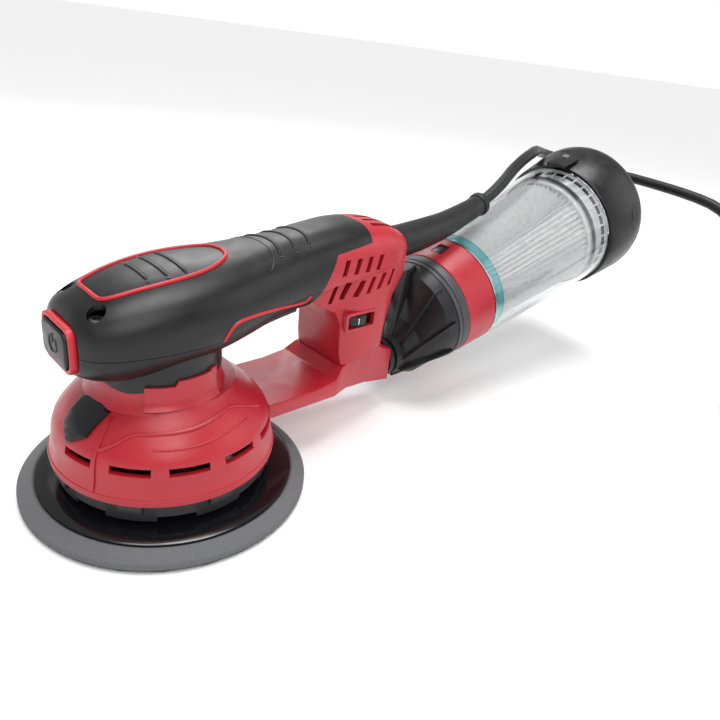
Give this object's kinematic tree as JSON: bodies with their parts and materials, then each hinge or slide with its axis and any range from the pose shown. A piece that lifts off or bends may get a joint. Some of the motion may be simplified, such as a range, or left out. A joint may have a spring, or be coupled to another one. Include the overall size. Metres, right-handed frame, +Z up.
{
  "type": "random orbital sander",
  "caption": "Corded random orbital sander with a round hook-faced pad, a soft-grip bow handle and a tilted clear dust canister with a pleated filter.",
  "frame": {"origin": "on the sanding face's plane, under the middle of the tool's box without its cable", "axes": "+X from the front button to the dust canister, +Y to the left of that, +Z up from the sanding face"},
  "size_m": [0.5435, 0.3475, 0.1713],
  "materials": {
    "red_shell": "satin moulded red plastic, nearly smooth",
    "red_trim": "thin red inlaid lines",
    "label": "red label plate, satin",
    "soft_grip": "charcoal overmould, soft and matt",
    "power_button": "soft black button with a raised sign",
    "badge": "gloss black domed badge",
    "pad_foam": "open grey foam, very matt",
    "hook_face": "short black hooks",
    "backing_plate": "gloss black moulded plate",
    "dust_skirt": "dark grey rubber skirt",
    "neck_boot": "black rubber boot",
    "adapter": "black ribbed plastic, worn along its edges",
    "grey_ring": "mid grey plastic ring",
    "latch": "small black latch",
    "clear_canister": "clear polycarbonate, polished",
    "filter_paper": "white pleated paper",
    "filter_plate": "white moulded filter ends",
    "cap": "black cap, satin",
    "seal": "black seals",
    "steel": "turned and ground steel",
    "screws": "bright screws and plug pins",
    "windings": "lacquered copper windings",
    "aluminium": "die cast",
    "inner_plastic": "black moulded inner pieces",
    "board": "green circuit board",
    "dial": "black wheel with white numbers",
    "cable": "black rubber cable",
    "sleeve": "black rubber sleeve",
    "plug": "black moulded plug"
  },
  "bodies": {
    "housing": {"motor_shroud": "red_shell", "rear_housing_upper": "red_shell", "rear_housing_column": "red_shell", "dust_duct": "red_shell", "top_trim": "red_trim", "grip_trim": "red_trim", "front_bezel": "red_trim", "neck_label_plate": "label", "head_shell_upper": "soft_grip", "head_shell_lower": "soft_grip", "grip_inlay": "soft_grip", "shroud_badge": "badge", "dust_skirt": "dust_skirt", "neck_boot": "neck_boot", "port_seal": "seal", "lower_bearing": "steel", "upper_bearing": "steel", "speed_dial_axle": "steel", "head_screw_left": "screws", "head_screw_right": "screws", "plug_pin_left": "screws", "plug_pin_right": "screws", "stator": "windings", "bearing_plate": "aluminium", "upper_bearing_seat": "aluminium", "power_switch": "inner_plastic", "board_capacitor": "inner_plastic", "control_board": "board", "mains_cable": "cable", "mains_cable_coil": "cable", "cable_strain_relief": "sleeve", "plug_body": "plug"},
    "spindle": {"eccentric_hub": "steel", "pad_bearing": "steel", "counterweight": "steel", "cooling_fan": "inner_plastic", "motor_shaft": "steel", "rotor": "steel"},
    "pad": {"pad_hook_face": "hook_face", "pad_foam": "pad_foam", "pad_backing_plate": "backing_plate", "pad_spindle": "steel", "pad_screw": "steel"},
    "power_button": {"power_button": "power_button"},
    "speed_dial": {"speed_dial": "dial"},
    "canister": {"canister_adapter": "adapter", "canister_grey_ring": "grey_ring", "canister_band": "red_shell", "canister_tube": "clear_canister", "filter_front_plate": "filter_plate", "pleated_filter": "filter_paper", "filter_end_plate": "filter_plate", "canister_seal_ring": "seal"},
    "canister_cap": {"canister_cap": "cap", "cap_clip": "cap", "cap_clip_screw": "screws"},
    "release_latch": {"release_latch": "latch"}
  },
  "joints": [
    {"name": "motor_spin", "type": "hinge", "parent": "housing", "child": "spindle", "pos_m": [-0.16965, 0, 0.04], "axis": [0, 0, 1], "continuous": true},
    {"name": "pad_spin", "type": "hinge", "parent": "spindle", "child": "pad", "pos_m": [-0.16815, 0, 0.01], "axis": [0, 0, 1], "continuous": true},
    {"name": "power_press", "type": "slide", "parent": "housing", "child": "power_button", "axis": [1, 0, 0], "range_m": [0, 0.002], "stiffness_N_per_m": 600, "springref_m": -0.001},
    {"name": "speed_turn", "type": "hinge", "parent": "housing", "child": "speed_dial", "pos_m": [-0.05615, -0.0152, 0.08], "axis": [0, 0, 1], "range_deg": [-120, 180]},
    {"name": "canister_pull", "type": "slide", "parent": "housing", "child": "canister", "axis": [1, 0, 0], "range_m": [0, 0.025]},
    {"name": "cap_twist", "type": "hinge", "parent": "canister", "child": "canister_cap", "pos_m": [0.20869, 0, 0.11511], "axis": [0.9597, 0, 0.2812], "range_deg": [0, 30]},
    {"name": "latch_press", "type": "slide", "parent": "canister", "child": "release_latch", "axis": [0.2812, 0, -0.9597], "range_m": [0, 0.0015], "stiffness_N_per_m": 500, "springref_m": -0.001}
  ]
}
